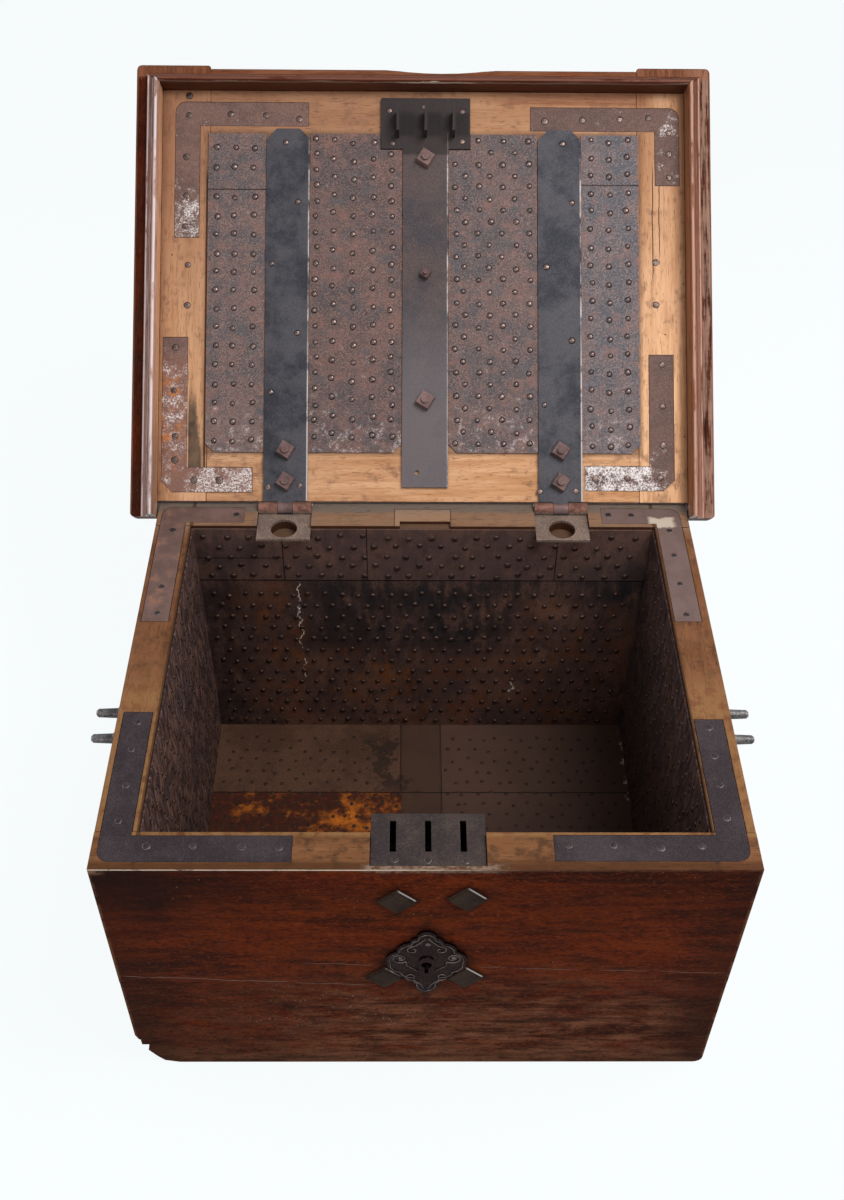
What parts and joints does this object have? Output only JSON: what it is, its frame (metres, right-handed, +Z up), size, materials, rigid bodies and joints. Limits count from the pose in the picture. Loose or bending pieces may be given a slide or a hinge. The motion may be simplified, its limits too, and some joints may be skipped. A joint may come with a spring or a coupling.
{
  "type": "wooden strong coffer",
  "caption": "Dovetailed wooden coffer with a hinged moulded lid, iron sheet lining, iron straps and braces, a built-in lock behind a lobed escutcheon, and a drop handle on each end.",
  "frame": {"origin": "middle of the box's underside, on the surface it stands on", "axes": "+X to the right end seen from the front, +Y to the back where the hinges are, +Z up; the open lid makes Y the longest extent"},
  "size_m": [0.7, 0.8908, 0.7086],
  "materials": {
    "box_wood": "worn dark polish",
    "lid_wood": "bare inside, worn polish outside",
    "moulding_wood": "worn dark polish",
    "lining_iron": "dark oxidised sheet",
    "plate_iron": "rusted sheet with pale specks",
    "brace_iron": "dull grey, rusted in places",
    "strap_iron": "blue-black forged",
    "lock_iron": "dark forged, worn edges",
    "handle_iron": "worn dull iron"
  },
  "bodies": {
    "box": {"front_upper_board": "box_wood", "front_lower_board": "box_wood", "back_upper_board": "box_wood", "back_lower_board": "box_wood", "left_upper_board": "box_wood", "left_lower_board": "box_wood", "right_upper_board": "box_wood", "right_lower_board": "box_wood", "bottom_board": "box_wood", "rim_brace_front_left": "brace_iron", "rim_brace_front_right": "brace_iron", "rim_brace_back_left": "brace_iron", "rim_brace_back_right": "brace_iron", "lining_front": "lining_iron", "lining_back_upper": "lining_iron", "lining_back_lower": "lining_iron", "lining_left": "lining_iron", "lining_right": "lining_iron", "lining_floor_left": "lining_iron", "lining_floor_right": "lining_iron", "lining_floor_strip": "lining_iron", "lock_cover": "lock_iron", "lock_case": "lock_iron", "lock_spring": "lock_iron", "lock_key_pin": "lock_iron", "escutcheon": "lock_iron", "lock_washer_upper_left": "lock_iron", "lock_washer_upper_right": "lock_iron", "lock_washer_lower_left": "lock_iron", "lock_washer_lower_right": "lock_iron", "hinge_leaf_left": "brace_iron", "hinge_leaf_right": "brace_iron", "hinge_pin_left": "brace_iron", "hinge_pin_right": "brace_iron", "handle_post_left_front": "handle_iron", "handle_post_left_back": "handle_iron", "handle_post_right_front": "handle_iron", "handle_post_right_back": "handle_iron"},
    "lid": {"lid_front_board": "lid_wood", "lid_back_board": "lid_wood", "lid_clamp_left": "lid_wood", "lid_clamp_right": "lid_wood", "lid_moulding_left": "moulding_wood", "lid_moulding_right": "moulding_wood", "lid_moulding_front": "moulding_wood", "lid_plate_outer_left": "plate_iron", "lid_plate_inner_left": "plate_iron", "lid_plate_inner_right": "plate_iron", "lid_plate_outer_right": "plate_iron", "lid_lock_strap": "strap_iron", "hinge_strap_left": "strap_iron", "hinge_strap_right": "strap_iron", "lid_brace_front_left": "brace_iron", "lid_brace_front_right": "brace_iron", "lid_brace_back_left": "brace_iron", "lid_brace_back_right": "brace_iron"},
    "lock_bolt": {"lock_bolt": "lock_iron"},
    "bail_left": {"handle_bail_left": "handle_iron"},
    "bail_right": {"handle_bail_right": "handle_iron"}
  },
  "joints": [
    {"name": "lid_hinge", "type": "hinge", "parent": "box", "child": "lid", "pos_m": [0, 0.2375, 0.364], "axis": [1, 0, 0], "range_deg": [0, 138.6]},
    {"name": "left_handle_swing", "type": "hinge", "parent": "box", "child": "bail_left", "pos_m": [-0.319, 0, 0.264], "axis": [0, 1, 0], "range_deg": [-10, 100]},
    {"name": "right_handle_swing", "type": "hinge", "parent": "box", "child": "bail_right", "pos_m": [0.319, 0, 0.264], "axis": [0, -1, 0], "range_deg": [-10, 100]},
    {"name": "lock_bolt_slide", "type": "slide", "parent": "box", "child": "lock_bolt", "axis": [1, 0, 0], "range_m": [0, 0.008]}
  ]
}
